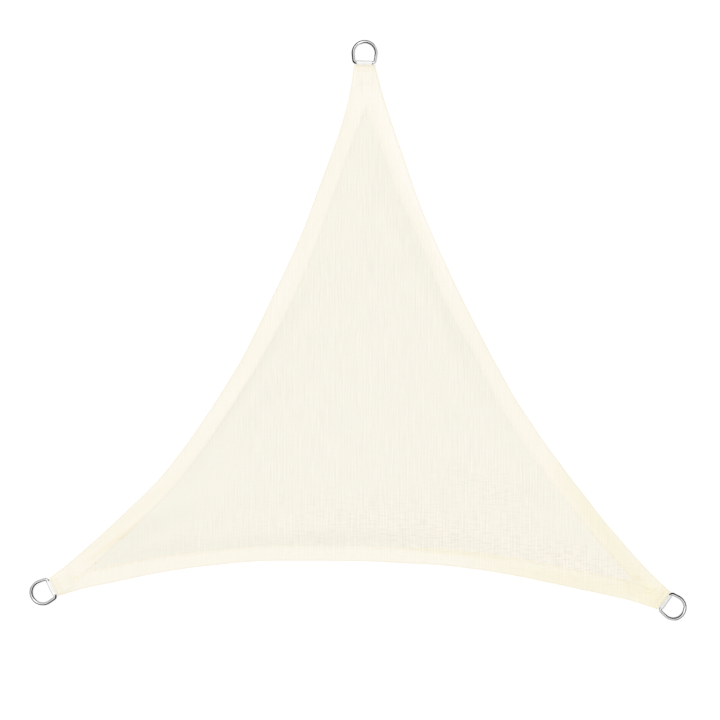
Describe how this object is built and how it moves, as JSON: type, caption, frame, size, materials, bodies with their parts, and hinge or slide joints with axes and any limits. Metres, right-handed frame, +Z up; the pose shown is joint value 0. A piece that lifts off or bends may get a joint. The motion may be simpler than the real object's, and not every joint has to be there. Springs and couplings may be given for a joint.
{
  "type": "shade sail",
  "caption": "Triangular fabric shade sail with drawn-in edges, a wide turned hem and a webbing-held D-shaped ring at each corner, laid flat.",
  "frame": {"origin": "on the ground under the middle of the box that holds the sail and its rings", "axes": "+Z up out of the sail's face, +X to the right along the base, +Y towards the upper corner"},
  "size_m": [1.9897, 1.7586, 0.0126],
  "materials": {
    "sail_cloth": "woven, matt",
    "webbing": "woven webbing, matt",
    "ring_steel": "polished"
  },
  "bodies": {
    "root": {"sail_cloth": "sail_cloth", "strap_left": "webbing", "strap_top": "webbing", "strap_right": "webbing", "ring_left": "ring_steel", "ring_top": "ring_steel", "ring_right": "ring_steel"}
  },
  "joints": []
}
